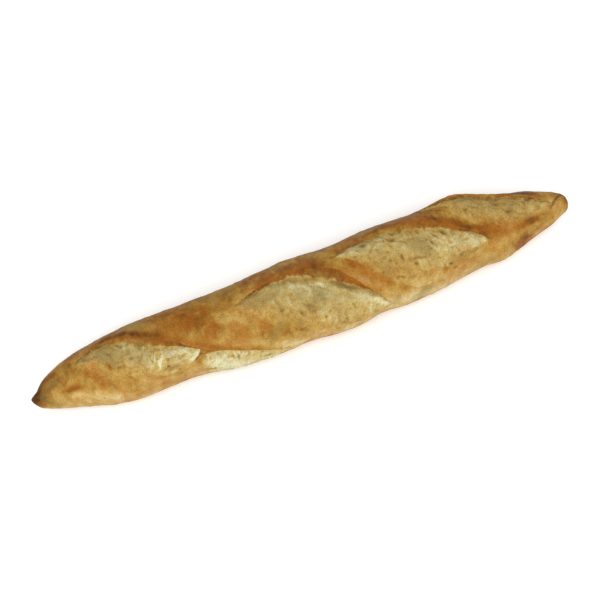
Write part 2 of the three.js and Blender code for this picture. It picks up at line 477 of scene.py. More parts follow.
CRUST_MARKS = [
    Mark(-97, -3, 10, 6, toast=0.25, warm=0.5),
    Mark(-82, 13, 8, 5, toast=0.2, warm=0.5),
    Mark(-90, -18, 26, 8, toast=0.14, warm=0.4),
    # Painted highlight: a small bright spot on a raised blister.
    Mark(-91, 10, 3, 2, toast=-0.15, lift=0.3),
    Mark(-206, 38, 5.5, 6, toast=0.36, warm=0.3),
    Mark(-243, 3, 16, 44, toast=0.85, warm=-0.8),
    Mark(-214, -2, 20, 14, toast=0.05, warm=-0.9),
    Mark(-222, 48, 8, 16, toast=-0.1, warm=-0.3),
    Mark(-196, 57, 17, 5, 22, toast=-0.26),
    Mark(-206, 56, 9, 5, 40, toast=-0.2),
    Mark(-178, 80, 24, 6, 18, toast=-0.18),
    Mark(-205, 78, 14, 6, 10, toast=-0.1),
    Mark(-180, 36, 18, 10, 30, toast=0.07, warm=0.3),
    Mark(-186, 27, 16, 5, 45, toast=0.06, warm=0.3),
    Mark(-172, 53, 22, 5, 45, toast=0.1, warm=0.4),
    Mark(-192, 11, 8, 4, 30, toast=0.1, warm=0.6),
    Mark(-140, 85, 20, 5, 15, warm=0.3),
    Mark(-150, -15, 26, 4, 28, toast=0.14, warm=0.5),
    Mark(-130, -29, 30, 9, 10, toast=0.03, warm=0.1),
    Mark(-112, -5, 14, 8, 30, toast=0.08, warm=0.4),
    Mark(-52, 33, 14, 8, 30, toast=0.06, warm=0.6),
    Mark(-44, 36, 6, 4, 30, toast=0.08, warm=0.4),
    Mark(-76, 41, 14, 6, 20, warm=0.3),
    Mark(-64, 54, 28, 5, 22, toast=-0.26),
    Mark(-66, 62, 26, 1.6, 22, toast=0.14, warm=0.5),
    Mark(-66, 11, 12, 5, toast=-0.1, warm=-0.6),
    Mark(-30, 83, 16, 5, 10, toast=-0.26, warm=-0.3),
    Mark(-18, 63, 20, 3, 33, toast=0.12, warm=0.4),
    Mark(-10, -27, 44, 5, 4, toast=0.1, warm=0.8),
    Mark(-50, -43, 40, 9, warm=-0.7),
    Mark(22, -31, 10, 8, 10, toast=-0.1, warm=-0.4),
    # These two marks lie on the ridge between the second ear and the third opening: its side facing that
    # opening is partly browned, partly painted shade.
    Mark(43, 5, 13, 3.4, 46, toast=0.22, warm=0.8),
    Mark(58, 34, 9, 3, 40, toast=0.18, warm=0.7),
    Mark(71, 52, 10, 2.4, 34, toast=0.05, warm=0.1),
    Mark(49, 46, 6, 3, 40, toast=-0.1, warm=0.3),
    Mark(58, 58, 7, 3.5, 40, toast=-0.16),
    # Painted highlight along the crest of that ridge, which this mark also raises.
    Mark(42, 23, 20, 3.5, 44, toast=-0.36, warm=0.2, lift=1.1),
    Mark(72, 83, 30, 8, 8, toast=-0.2, warm=-0.3),
    Mark(104, 87, 26, 7, 8, toast=-0.14),
    Mark(98, 58, 24, 9, 12, toast=-0.16, warm=-0.3),
    Mark(131, -5, 21, 4.5, 36, toast=0.22, warm=0.6),
    Mark(95, -33, 22, 6, 8, toast=0.04, warm=0.8),
    Mark(151, 24, 7, 2.4, 65, toast=0.28, warm=0.6),
    Mark(163, 17, 14, 6, 20, toast=0.16, warm=0.7),
    Mark(158, 55, 14, 8, 10, toast=-0.08),
    Mark(170, 32, 16, 4, 12, toast=0.16, warm=0.6),
    Mark(198, 33, 11, 4, 10, toast=0.24, warm=0.3),
    Mark(195, 42, 14, 5, 10, toast=0.2, warm=0.5),
    Mark(199, 44, 7, 4, 20, toast=0.16, warm=0.3),
    Mark(212, 35, 6, 3, 20, toast=0.14),
    Mark(190, 84, 17, 9, 45, toast=0.42, warm=0.7),
    Mark(180, 83, 12, 2.5, 60, toast=0.1, warm=1),
    Mark(203, 69, 5, 4, 40, toast=0.14, warm=0.6),
    Mark(190, -36, 30, 8, 18, toast=0.4, warm=-0.7),
    Mark(214, -12, 10, 7, 60, toast=0.1),
    Mark(227, 42, 9, 20, toast=-0.3, warm=-0.3),
    Mark(240, 23, 5, 40, toast=0.34),
    Mark(216, 101, 28, 7, -6, toast=0.3, warm=0.2),
    Mark(-230, 80, 12, 9, 25, toast=0.14, warm=0.3),
]

# Where a mark raises the crumb and pales it, the pale is partly painted highlight; where it sinks the crumb
# and darkens it, the dark is painted shade.
CRUMB_MARKS = [
    Mark(-198, -9, 7, 4, 10, grey=0.3, cream=0.2),
    Mark(-185, -5, 7, 1.0, 108, cream=0.5, lift=0.4),
    Mark(-188, -9, 5, 1.3, 100, cream=-0.5, lift=-0.4),
    Mark(-163, -9, 5, 1.2, 60, cream=0.35, lift=0.3),
    Mark(-158, -3, 5, 0.8, 100, cream=0.35, lift=0.3),
    Mark(-152, 3, 4, 0.8, 100, cream=0.3, lift=0.2),
    Mark(-140, 7, 6, 1.2, 35, cream=0.35, lift=0.2),
    Mark(-183, 2, 16, 9, 20, cream=-0.4, grey=0.5),
    Mark(-175, 28, 12, 5, 30, cream=-0.2),
    Mark(-134, 36, 9, 1.2, 108, cream=0.6, lift=0.6),
    Mark(-120, 33, 11, 6, 20, cream=0.2),
    Mark(-129, 53, 6, 3, 10, cream=-0.7, grey=0.3, lift=-0.5),
    Mark(-107, 53, 10, 2.6, -40, cream=0.55, grey=-0.3, lift=0.5),
    Mark(-118, 76, 8, 1.4, 115, cream=0.5, lift=0.5),
    Mark(-110, 70, 8, 3, -45, cream=-1.2),
    Mark(-126, 69, 8, 6, 60, cream=0.3),
    Mark(-155, 53, 16, 5, 30, cream=-0.15),
    # Painted highlight: a small bright spot at the opening's tip.
    Mark(-64, 3, 2.5, 1.5, cream=0.8, grey=-0.4),
    # Painted highlight: where the ear's edge catches the light.
    Mark(-31, -12, 5, 2, 5, cream=0.4),
    # Painted highlight along the top of a combed strand.
    Mark(-22, 19, 5, 1.4, 85, cream=0.2, lift=0.2),
    Mark(-27, 15, 7, 1.2, 75, cream=0.2, lift=0.3),
    Mark(-33, 13, 6, 1.2, 70, cream=0.2, lift=0.3),
    Mark(-37, 5, 7, 2, 5, grey=0.4, cream=-0.2),
    Mark(-50, 3, 12, 5, 5, grey=0.3, cream=-0.3),
    Mark(-4, 5, 24, 3.0, 14, cream=0.35),
    Mark(0, 23, 18, 3.5, 10, grey=0.35, lift=-0.4),
    # Painted shade in a hollow.
    Mark(-6, 33, 5, 3, 20, cream=-0.7, lift=-0.6),
    Mark(40, 47, 10, 4, 52, cream=0.25, grey=0.1),
    Mark(20, 83, 14, 5, cream=-0.5),
    Mark(8, 65, 8, 1.2, 110, cream=0.4, lift=0.4),
    Mark(14, 63, 8, 1.2, 110, cream=0.4, lift=0.4),
    Mark(56, 70, 11, 7, 40, cream=0.35, grey=-0.2),
    Mark(32, -15, 8, 3, 5, cream=0.3, grey=0.2),
    Mark(50, -18, 12, 8, 5, cream=0.25),
    Mark(96, -17, 16, 4.5, 8, cream=-0.2, grey=-0.6),
    Mark(95, 10, 12, 6.5, 8, cream=-0.15, grey=0.55),
    Mark(90, -5, 10, 1.6, 4, cream=0.2, lift=0.2),
    Mark(106, 17, 5, 1.3, 70, cream=0.4, lift=0.2),
    Mark(12, 29, 10, 6, 20, grey=0.3),
    Mark(94, 24, 13, 1.2, 8, cream=-0.4, lift=-0.4),
    Mark(72, 28, 16, 7, 20, cream=-0.2, grey=-0.4),
    Mark(76, 48, 18, 7, 25, cream=-0.05, grey=-0.4),
    # Painted highlights: three short pale strokes on little raised strands.
    Mark(90, 31, 1.1, 3, cream=0.25, grey=-0.4, lift=0.3),
    Mark(94, 31, 1.1, 3, cream=0.25, grey=-0.4, lift=0.3),
    Mark(98, 31, 1.1, 3, cream=0.2, grey=-0.4, lift=0.3),
    Mark(134, 29, 16, 6, 22, cream=0.12, lift=0.5),
    # Painted shade along the foot of a large bubble.
    Mark(124, 55, 7, 4, 100, cream=-0.9, lift=-0.5),
    Mark(118, 67, 8, 3, 10, cream=-0.8),
    Mark(98, 71, 14, 1.8, 20, cream=-0.7, lift=-0.4),
    Mark(108, 43, 10, 6, 20, cream=0.15),
    Mark(168, -13, 26, 7, 30, grey=0.2),
    # Painted highlights: two pale spots on raised crumb.
    Mark(198, 17, 4, 5, 60, cream=0.35, lift=0.5),
    Mark(212, 17, 2.4, 6, cream=0.35, lift=0.4),
    Mark(140, -29, 16, 6, 30, grey=0.3, cream=0.15),
    Mark(-90, 71, 14, 6, 15, cream=0.2, grey=0.2),
    Mark(-82, 96, 26, 8, 8, cream=0.6),
]


class Bubble(NamedTuple):
    """A bubble under a thin, smooth skin of crumb: where, its half sizes, its turn and its rise."""

    x: float
    roll: float
    long: float
    wide: float
    turn: float = 0
    rise: float = 1.2


BUBBLES = [
    Bubble(-177, 0, 7, 5.5, 20, 0.9),
    Bubble(-165, 4, 5, 4.5),
    Bubble(-167, 19, 5, 4, 0, 0.8),
    Bubble(-156, 15, 5, 4, 30),
    Bubble(-144, 28, 8, 5, 80, 1.6),
    Bubble(-158, 33, 4.5, 4, 0, 0.8),
    Bubble(-126, 29, 5.5, 4, 20),
    Bubble(-120, 45, 4.5, 3.5),
    Bubble(-114, 35, 3, 3),
    Bubble(-51, 0, 10, 4.5, 4, 0.7),
    Bubble(-36, 6, 5.5, 4, 10, 0.9),
    Bubble(-26, 36, 4.5, 4),
    Bubble(-12, 12, 6, 3.6, 10, 0.9),
    Bubble(6, 20, 7, 3.4, 12, 0.8),
    Bubble(-14, 53, 6, 4, 20, 0.9),
    Bubble(2, 43, 5, 4, 0, 0.9),
    Bubble(26, 61, 6, 5, 40, 0.9),
    Bubble(50, -20, 11, 7.5, 0, 2.0),
    Bubble(66, -6, 6.5, 5, 20, 1.4),
    Bubble(72, -23, 7, 4, 10, 1.2),
    Bubble(92, 10, 13, 7, 8, 1.8),
    Bubble(109, 6, 2.8, 2.8, 0, 0.9),
    Bubble(132, 29, 12, 6, 24, 1.0),
    Bubble(66, 18, 5, 4, 0, 0.9),
    Bubble(104, 41, 9, 6, 10, 1.0),
    Bubble(84, 43, 6, 4.5, 0, 0.9),
    Bubble(98, 59, 9, 5, 10, 0.9),
    Bubble(150, -24, 9, 5, 20, 1.0),
    Bubble(168, 1, 7, 4.5, 20, 0.8),
    Bubble(190, 5, 8, 4.5, 20, 0.8),
    Bubble(-82, 79, 6, 4.5),
]
BUBBLE_RIM = 0.2  # width of the crease round a bubble, as a share of its size
BUBBLE_BEND = 3.5  # how far the bubbles' outlines stray from ovals, in millimetres


class Pit(NamedTuple):
    """A pit in the crumb: where, its size in millimetres, its turn in degrees, and how dark its painted
    shade is.
    """

    x: float
    roll: float
    long: float
    wide: float
    turn: float = 0
    dark: float = 1


PITS = [
    Pit(-190, -13, 4, 2.4, 80, 0.6),
    Pit(-171, -3, 4, 1.6, 60, 0.5),
    Pit(-160, 42, 5, 2.4, 60, 0.4),
    Pit(-155, 15, 3, 2, 30, 0.6),
    Pit(-166, 21, 3, 2, 0, 0.5),
    Pit(-129, 49, 3.4, 2, 60, 0.7),
    Pit(-119, 43, 3, 2, 0, 0.5),
    Pit(-106, 55, 7, 1.6, -35, 0.7),
    Pit(-102, 50, 3, 1.8, -35, 0.7),
    Pit(-18, 9, 3, 2, 0, 0.3),
    Pit(-30, 24, 3, 3, 0, 0.6),
    Pit(-15, 37, 3.4, 2, 70, 0.5),
    Pit(-7, 31, 5, 3, 20, 0.5),
    Pit(0, 7, 5, 1.4, 15, 0.4),
    Pit(3, 51, 3, 1.6, 30, 0.5),
    Pit(27, 48, 5, 1.6, 65, 0.4),
    Pit(11, 79, 3, 2.4, 0, 0.5),
    Pit(27, 79, 3.4, 2.4, 0, 0.6),
    Pit(-21, 85, 4, 2.4, 0, 0.5),
    Pit(53, -17, 6, 4, 0, 0.75),
    Pit(58, -21, 3.4, 2, 60, 0.7),
    Pit(46, -11, 4, 1.6, 40, 0.4),
    Pit(76, -9, 5.4, 3.6, 0, 0.75),
    Pit(70, -19, 4, 2, 30, 0.5),
    Pit(59, 25, 3, 2, 0, 0.5),
    Pit(78, 15, 4.4, 2.2, 80, 0.7),
    Pit(87, 29, 3, 2.4, 0, 0.7),
    Pit(69, 38, 3, 2, 0, 0.6),
    Pit(73, 40, 3, 2, 40, 0.7),
    Pit(81, 45, 5, 3, 0, 0.4),
    Pit(83, -3, 5, 1.4, 20, 0.5),
    Pit(106, 10, 3.6, 1.6, 60, 0.8),
    Pit(112, 3, 3.6, 1.4, 60, 0.6),
    Pit(120, 1, 6, 3, 55, 0.85),
    Pit(116, 50, 3, 2.2, 0, 0.8),
    Pit(119, 59, 3.2, 2, 0, 0.6),
    Pit(127, 43, 3.6, 3, 0, 0.5),
    Pit(172, -13, 5, 5, 0, 0.6),
    Pit(180, 4, 4.4, 3, 0, 0.75),
    Pit(146, -15, 3, 2.2, 0, 0.6),
    Pit(202, -10, 5, 6, 0, 0.45),
    Pit(-78, 71, 4, 1.6, 90, 0.5),
    Pit(-74, 75, 6, 1.6, 90, 0.7),
    Pit(-50, 91, 5, 2, 10, 0.6),
    Pit(-96, 91, 12, 2, 10, 0.5),
]
PIT_DEPTH = 2.0
CREASE_DEPTH = 0.7

FOLD_PLACE = 229
FOLD_LEAN = 0.62  # how far the fold moves left for each millimetre towards the front
FOLD_RISE = 1.9
FOLD_WIDTH = 1.8  # of the step up to the cap
FOLD_CREASE = 1.7  # width of the crease at its foot
FOLD_START = (-75, -40)  # rolls between which it fades in
FOLD_END = (12, 42)  # rolls between which it fades out


def oval(x, roll, at_x, at_roll, long, wide, turn):
    """1 in the middle of a soft oval, falling to 0 outside."""
    off_x = x - at_x
    off_round = (roll - math.radians(at_roll)) * GIRTH_RADIUS
    cos, sin = math.cos(math.radians(turn)), math.sin(math.radians(turn))
    a = (off_x * cos + off_round * sin) / long
    b = (off_round * cos - off_x * sin) / wide
    return np.exp(-(a * a + b * b))


def mark_field(marks, chart, kind):
    """What the marks add to one of the surface's numbers."""
    total = 0 * chart.x
    for mark in marks:
        amount = getattr(mark, kind)
        if amount:
            total += amount * oval(chart.uneven_x, chart.uneven_roll, *mark[:5])
    return total


def bubble_fields(chart):
    """How far the bubbles stand out, 1 where their skin is smooth, and 1 in the creases round them."""
    across = chart.uneven_roll * GIRTH_RADIUS
    x = chart.uneven_x + BUBBLE_BEND * cloud((chart.uneven_x, across, 0 * across), 7, 95)
    flat = (x, across, 0 * across)
    roll = chart.uneven_roll + BUBBLE_BEND * cloud(flat, 7, 96) / GIRTH_RADIUS
    rise, smooth, rim = 0 * x, 0 * x, 0 * x
    for bubble in BUBBLES:
        away = np.sqrt(-np.log(np.maximum(oval(x, roll, *bubble[:5]), 1e-9)))
        rise = np.maximum(rise, bubble.rise * np.sqrt(np.maximum(0, 1 - away**2)))
        smooth = np.maximum(smooth, 1 - smoothstep(away, 0.5, 1.1))
        rim = np.maximum(rim, bell(away, 1.08, BUBBLE_RIM))
    broken = np.clip(0.6 + 1.2 * cloud(flat, 6, 97), 0, 1)
    return rise, smooth, rim * (1 - smooth) * broken


def pit_field(chart):
    """Greatest in a pit's middle and 0 outside: how far it sinks, and how dark its painted shade is."""
    uneven_x = chart.x + 0.9 * cloud(chart.flat, 3, 93)
    deepest = 0 * uneven_x
    for x, roll, long, wide, turn, dark in PITS:
        here = dark * oval(uneven_x, chart.roll, x, roll, long / 2, wide / 2, turn)
        deepest = np.maximum(deepest, here)
    return deepest


def fold_fields(chart):
    """The cap that folds over at the right end: its lift, and the crease at its foot."""
    past = chart.x - FOLD_PLACE + FOLD_LEAN * chart.across + waves(chart.across, (1.2, 7, 3))
    reach = smoothstep(chart.degrees, *FOLD_START) * (1 - smoothstep(chart.degrees, *FOLD_END))
    lift = FOLD_RISE * smoothstep(past, 0, FOLD_WIDTH) * reach * taper(chart.x)
    return lift, bell(past, 0, FOLD_CREASE) * reach


# ---------- The whole surface ----------


def blurred(values, rounds):
    """Values on the chart, each round mixed with those next to them."""
    for _ in range(rounds):
        ends = np.concatenate([values[:1], values, values[-1:]])
        values = (ends[:-2] + 2 * values + ends[2:]) / 4
        values = (np.roll(values, 1, 1) + 2 * values + np.roll(values, -1, 1)) / 4
    return values


class Surface(NamedTuple):
    """The finished surface. All but its points become the mesh's attributes, which the material reads."""

    points: np.ndarray  # millimetres
    toast: np.ndarray  # crust: 0 is blond and 1 is burnt
    crumb: np.ndarray  # 1 where the crumb is torn open
    cream: np.ndarray  # crumb: how pale
    grey: np.ndarray  # crumb: how grey
    pit: np.ndarray  # how dark the painted shade is in a pit, crack, crease or hollow
    warm: np.ndarray  # crust: -1 is olive and 1 is orange


HOLLOW_REACH = 14  # rounds of blurring of a hollow's surroundings, for the painted shade and highlights


class Chart(NamedTuple):
    """The points to shape, on the chart and in space."""

    x: np.ndarray
    roll: np.ndarray
    degrees: np.ndarray  # the roll in degrees
    across: np.ndarray  # the roll as a distance
    flat: tuple  # x, across and 0
    space: tuple  # the coordinates of the skin
    uneven_x: np.ndarray  # x and roll with noise added, which gives the marks uneven outlines
    uneven_roll: np.ndarray


def chart_of(x, roll, base):
    across = roll * GIRTH_RADIUS
    flat = (x, across, 0 * x)
    return Chart(
        x=x,
        roll=roll,
        degrees=np.degrees(roll),
        across=across,
        flat=flat,
        space=tuple(np.moveaxis(base, -1, 0)),
        uneven_x=x + clouds(flat, (2, 8, 91), (0.8, 3, 94)),
        uneven_roll=roll + clouds(flat, (2, 8, 92)) / GIRTH_RADIUS,
    )


def plain_crust(chart):
    """How browned and how warm the crust is, before the openings change it."""
    degrees, space = chart.degrees, chart.space
    # The rear flank is browner and the foot of the front flank paler: partly how the loaf browned, partly
    # painted shade on the rear and painted light on the front.
    toast = 0.46 + 0.16 * smoothstep(-degrees, 8, 55) - 0.16 * smoothstep(degrees, 50, 95)
    toast = toast + clouds(space, (0.17, 22, 6), (0.1, 9, 8)) + clouds(chart.flat, (0.09, (3, 12, 1), 9))
    toast = toast + mark_field(CRUST_MARKS, chart, "toast")
    base_toast = 0.62 + clouds(space, (0.08, 16, 7))
    toast = lerp(toast, base_toast, smoothstep(np.abs(degrees), 112, 150))
    # The rear is also more olive: partly its own colour, partly the tint of painted shade.
    warm = clouds(space, (1.4, 34, 10), (1.2, 10, 11)) - 0.35 * smoothstep(-degrees, 15, 50)
    return toast, warm + mark_field(CRUST_MARKS, chart, "warm")


def torn_relief(opening, place, inside, smooth, seed):
    """The crumb's relief inside an opening, calmer near its edges and on bubbles, and 0 outside."""
    rows, columns = np.nonzero(inside > 0)
    some = Place(*[part[rows, columns] if isinstance(part, np.ndarray) else part for part in place])
    calm = smoothstep(some.floor, 0, 0.2) * (1 - 0.6 * smoothstep(some.face, 0, 0.8))
    calm = calm * smoothstep(some.open, 0.1, 0.4) * (1 - 0.45 * smooth[rows, columns])
    relief = 0 * inside
    relief[rows, columns] = crumb_relief(opening.crumb, some, seed) * calm
    return relief


def brown_ear(layers, opening, place, inside, seed):
    """Browns the stretched skin from the groove up to the ear's edge, and the crust behind the edge."""
    ear = opening.ear
    near = place.past_ear < FAR
    middle = smoothstep(place.along, 0.03, 0.2) * (1 - smoothstep(place.along, 0.8, 0.98))
    uneven = 0.85 + waves(place.u, (0.35, 11, seed + 12), (0.2, 4, seed + 13))
    edge = bell(place.past_ear, 0.8, 4.2) * near * middle * np.clip(uneven, 0.1, 1.4)
    behind = np.exp(-np.maximum(place.past_ear, 0) / 9) * (place.past_ear > 0) * near * middle
    face_toast = lerp(*ear.browned, place.along) - 0.04 + 0.14 * smoothstep(place.face, 0.1, 0.9)
    layers.toast = lerp(layers.toast, face_toast, inside * smoothstep(place.face, 0, 0.25))
    layers.toast = layers.toast + ear.burnt * (0.75 * edge + 0.4 * behind)
    layers.warm = layers.warm + 0.6 * edge
    # Painted shade: where the groove is a crack, it is painted dark.
    groove = bell(place.floor, 1, 0.045) * (place.face < 0.15) * inside
    crack = groove * crack_share(opening, place.along) * np.clip(uneven, 0, 1)
    layers.pit = np.maximum(layers.pit, 0.8 * crack)


def bare_crumb(layers, opening, chart, place, inside, seed):
    """Melts crust into crumb over the floor's front part, so that next to the lip there is golden crust."""
    golden = place.inside * (place.face == 0) * (1 - smoothstep(place.floor, 0, 0.8))
    layers.toast = layers.toast - 0.09 * golden * place.open
    melt = opening.lip.melt * (1 + 0.5 * wave(place.u, 12, seed + 14))
    blend = place.floor + clouds(chart.space, (0.16, 7, seed + 15), (0.1, 3, seed + 16))
    ragged = clouds(chart.space, (0.3, 6, seed + 17), (0.12, 2.6, seed + 18))
    torn = inside * smoothstep(blend, 0.04, melt) * (1 - smoothstep(place.face + ragged, -0.05, 0.55))
    torn = torn * smoothstep(place.open + ragged, 0.12, 0.42)
    layers.crumb = np.maximum(layers.crumb, torn)
    pale = lerp(*opening.crumb.cream, place.along) * lerp(0.15, 1, smoothstep(place.floor, 0.1, 0.65))
    dull = 0.8 * lerp(*opening.crumb.grey, smoothstep(place.along, 0, 0.8))
    dull = dull * smoothstep(place.floor, 0.2, 0.7)
    layers.cream = np.where(inside > 0, pale, layers.cream)
    layers.grey = np.where(inside > 0, dull, layers.grey)


def loaf_surface(x, roll, size):
    base = skin(x, roll, size)
    chart = chart_of(x, roll, base)
    space = chart.space
    bubble_rise, smooth, bubble_rim = bubble_fields(chart)
    toast, warm = plain_crust(chart)
    none = 0 * x
    layers = SimpleNamespace(toast=toast, warm=warm, crumb=none, cream=none, grey=none, pit=none)
    lift = clouds(space, (0.8, (48, 30, 30), 1), (0.4, 15, 2)) + mark_field(CRUST_MARKS, chart, "lift")
    slide_along, slide_around = none, none
    for number, opening in enumerate(OPENINGS):
        seed = SEEDS * number
        place = place_in(opening, chart, seed)
        inside = place.inside * smoothstep(place.open, 0.1, 0.4)
        shape, lean = opening_shape(opening, place, seed)
        lift = lift + shape + torn_relief(opening, place, inside, smooth, seed)
        slide_along = slide_along + lean * place.slant[0]
        slide_around = slide_around + lean * place.slant[1]
        brown_ear(layers, opening, place, inside, seed)
        bare_crumb(layers, opening, chart, place, inside, seed)

    # Marks, bubbles, pits and the fold lie over the openings.
    crumb, crust = layers.crumb, 1 - layers.crumb
    holes = pit_field(chart)
    fold, crease = fold_fields(chart)
    mark_cream = mark_field(CRUMB_MARKS, chart, "cream")
    # Painted shade: the creases round the bubbles are painted a little darker.
    cream = layers.cream + mark_cream - 0.08 * bubble_rim + clouds(space, (0.25, 9, 12))
    grey = layers.grey + mark_field(CRUMB_MARKS, chart, "grey")
    grey = grey + 0.2 * smooth + clouds(space, (0.5, 11, 13))
    toast = layers.toast - 0.25 * np.clip(mark_cream, 0, 1) * crust
    grain = clouds(space, (0.18, 5, 3), (0.12, 2.6, 4))
    blisters = 0.9 * np.maximum(0, cloud(space, 8, 5) - 0.3)
    crumb_lift = mark_field(CRUMB_MARKS, chart, "lift") + 0.8 * bubble_rise - 0.25 * bubble_rim
    lift = lift + crumb * crumb_lift + crust * (grain + blisters)
    lift = lift + fold - CREASE_DEPTH * crease - PIT_DEPTH * holes
    lift = lift * (1 - smoothstep(np.abs(chart.degrees), 115, 140))

    # Painted shade in hollows and painted highlight on what stands out, in crust and crumb alike.
    sunk = np.clip(blurred(lift, HOLLOW_REACH) - lift, -0.8, 0.8)
    cream = cream - 0.35 * sunk
    toast = toast + 0.2 * sunk * crust
    # Painted shade: pits, cracks, the fold's crease and the crumb's hollows are painted darker.
    pit = np.maximum(layers.pit, np.maximum(0.9 * holes, 0.75 * crease))
    pit = np.maximum(pit, crumb * np.clip(0.8 * sunk - 0.3, 0, 0.3))

    along, around, out = skin_directions(x, roll, size)
    points = base + out * lift[..., None]
    points = points + along * slide_along[..., None] + around * slide_around[..., None]
    points[..., 2] = np.maximum(points[..., 2], underside(x))
    return Surface(points, toast, crumb, cream, grey, pit, layers.warm)


# ---------- The mesh ----------

STATIONS = 560  # places along the loaf, less than 1 mm apart
STATION_CROWDING = 0.2
TOP_POINTS = 148  # over the crust that shows from above
UNDER_POINTS = 28  # over the flanks' feet and the base
TOP_ROLL = 112
UV_EDGE = 0.01


class LoafSize(NamedTuple):
    width: float
    height: float


def station_places():
    even = 2 * np.arange(1, STATIONS) / STATIONS - 1
    return HALF * lerp(even, np.sin(math.pi / 2 * even), STATION_CROWDING)


def station_rolls():
    top = math.radians(TOP_ROLL)
    over = np.linspace(-top, top, TOP_POINTS, endpoint=False)
    below = np.linspace(top, 2 * math.pi - top, UNDER_POINTS, endpoint=False)
    return np.concatenate([over, below])


def tip_values(values):
    """A tip takes the middle value of the ring next to it."""
    return [float(np.mean(values[0])), float(np.mean(values[-1]))]


def bake_map(mesh, faces, rings, around):
    """The loaf's left half over its right half, so that the picture baked for it is used well."""
    corners = np.concatenate([np.asarray(face) for face in faces])
    lengths = np.array([len(face) for face in faces])
    owner = np.repeat(np.arange(len(faces)), lengths)
    ring = np.where(corners < rings * around, corners // around, -1)
    turn = np.where(corners < rings * around, corners % around, 0)
    ring = np.where(corners == rings * around + 1, rings, ring)
    first = np.minimum.reduceat(ring, np.cumsum(lengths) - lengths)[owner]
    widest = np.maximum.reduceat(turn, np.cumsum(lengths) - lengths)[owner]
    wraps = (widest == around - 1) & (turn == 0)
    share_along = (ring + 1) / (rings + 1)
    share_round = np.where(wraps, around, turn) / around
    right = (first + 1) / (rings + 1) >= 0.5
    u = np.where(right, 2 * share_along - 1, 2 * share_along)
    v = (share_round * (1 - 2 * UV_EDGE) + UV_EDGE + right) / 2
    layer = mesh.uv_layers.new(name="OFBake")
    layer.uv.foreach_set("vector", np.stack([lerp(UV_EDGE, 1 - UV_EDGE, u), v], -1).ravel())


def build_loaf(size):
    x, roll = np.meshgrid(station_places(), station_rolls(), indexing="ij")
    surface = loaf_surface(x, roll, size)
    rings, around = x.shape
    tips = [(side * HALF, float(spine(side * HALF)), TIP_HEIGHT) for side in (-1, 1)]
    points = np.concatenate([surface.points.reshape(-1, 3), tips])
    low, high = points.min(0), points.max(0)
    box_low, box_high = (np.array(corner) / MM for corner in LOAF_BOX)
    points[:, :2] += ((box_low + box_high - low - high) / 2)[:2]
    points[:, 2] += box_low[2] - low[2]

    ring = np.arange(rings - 1)[:, None] * around
    turn = np.arange(around)[None, :]
    following = (turn + 1) % around
    quads = np.stack([ring + turn, ring + following, ring + around + following, ring + around + turn], -1)
    left_tip, right_tip = rings * around, rings * around + 1
    last = (rings - 1) * around
    faces = quads.reshape(-1, 4).tolist()
    for j in range(around):
        following = (j + 1) % around
        faces.append([left_tip, following, j])
        faces.append([right_tip, last + j, last + following])

    mesh = bpy.data.meshes.new("baguette_loaf")
    mesh.from_pydata((points * MM).tolist(), [], faces)
    for name in Surface._fields[1:]:
        values = getattr(surface, name)
        data = np.concatenate([values.ravel(), tip_values(values)])
        mesh.attributes.new(name, "FLOAT", "POINT").data.foreach_set("value", data)
    bake_map(mesh, faces, rings, around)
    mesh.shade_smooth()
    loaf = bpy.data.objects.new("baguette_loaf", mesh)
    bpy.context.collection.objects.link(loaf)
    return loaf


# ---------- Materials ----------


def linear(hex_colour):
    """An sRGB hex colour as linear red, green, blue and alpha."""
    channels = [int(hex_colour[i : i + 2], 16) / 255 for i in (1, 3, 5)]
    return tuple(c / 12.92 if c <= 0.04045 else ((c + 0.055) / 1.055) ** 2.4 for c in channels) + (1.0,)


def add_node(tree, kind, inputs=None, **settings):
    """Adds a node with its settings, and gives each input a value or links it to another node's output."""
    node = tree.nodes.new(kind)
    for name, value in settings.items():
        setattr(node, name, value)
    for name, value in (inputs or {}).items():
        if isinstance(value, bpy.types.NodeSocket):
            tree.links.new(value, node.inputs[name])
        else:
            node.inputs[name].default_value = value
    return node


def new_material(name):
    material = bpy.data.materials.new(name)
    material.use_nodes = True
    material.node_tree.nodes.clear()
    return material


def mottled(tree, value, *patterns):
    """A value made uneven by patterns that lie about 0.5, each with an amount."""
    for pattern, amount in patterns:
        lowered = add_node(tree, "ShaderNodeMath", {0: value, 1: -amount / 2}, operation="ADD").outputs[0]
        inputs = {0: pattern, 1: amount, 2: lowered}
        value = add_node(tree, "ShaderNodeMath", inputs, operation="MULTIPLY_ADD").outputs[0]
    return value


